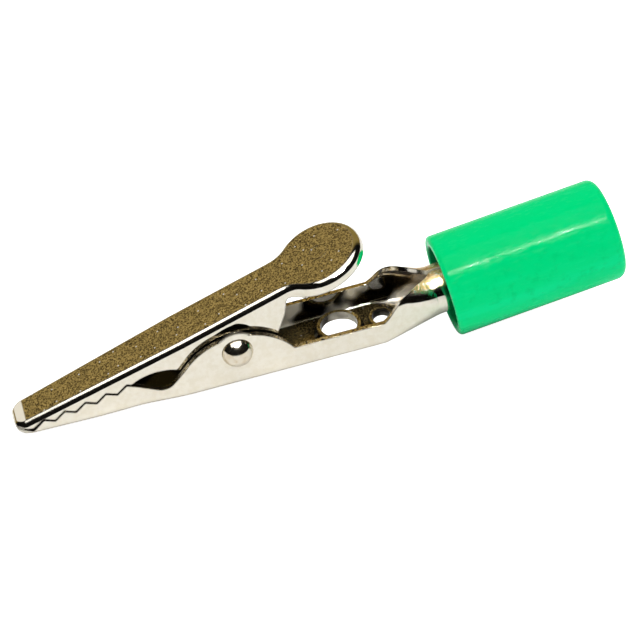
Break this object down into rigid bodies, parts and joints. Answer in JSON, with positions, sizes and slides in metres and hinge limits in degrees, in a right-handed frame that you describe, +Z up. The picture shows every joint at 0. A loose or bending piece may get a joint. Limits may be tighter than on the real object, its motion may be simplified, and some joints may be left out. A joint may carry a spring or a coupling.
{
  "type": "crocodile clip",
  "caption": "Stamped steel crocodile clip: sprung toothed jaws on a rivet, thumb pad, and a rolled socket for a 4 mm plug in a moulded sleeve.",
  "frame": {"origin": "centre of the bounding box, at the height of the surface that the jaw tip and the sleeve's front rim lie on", "axes": "+X from the jaw tips to the plug socket, +Z up through the upper jaw, Y across the jaws along the rivet"},
  "size_m": [0.062, 0.0104, 0.0141],
  "materials": {
    "jaw_steel": "nickel plated and polished",
    "rivet_steel": "nickel plated, bright domed head",
    "spring_steel": "plain drawn wire",
    "green_plastic": "glossy soft vinyl"
  },
  "bodies": {
    "lower_half": {"lower_jaw": "jaw_steel", "rivet": "rivet_steel", "spring": "spring_steel", "insulating_sleeve": "green_plastic"},
    "upper_half": {"upper_jaw": "jaw_steel"}
  },
  "joints": [
    {"name": "jaw_pivot", "type": "hinge", "parent": "lower_half", "child": "upper_half", "pos_m": [-0.00881, 0, 0.00573], "axis": [0, 1, 0], "range_deg": [0, 30], "stiffness_Nm_per_rad": 0.01, "springref_deg": -57.3, "deforming": ["spring"]}
  ]
}
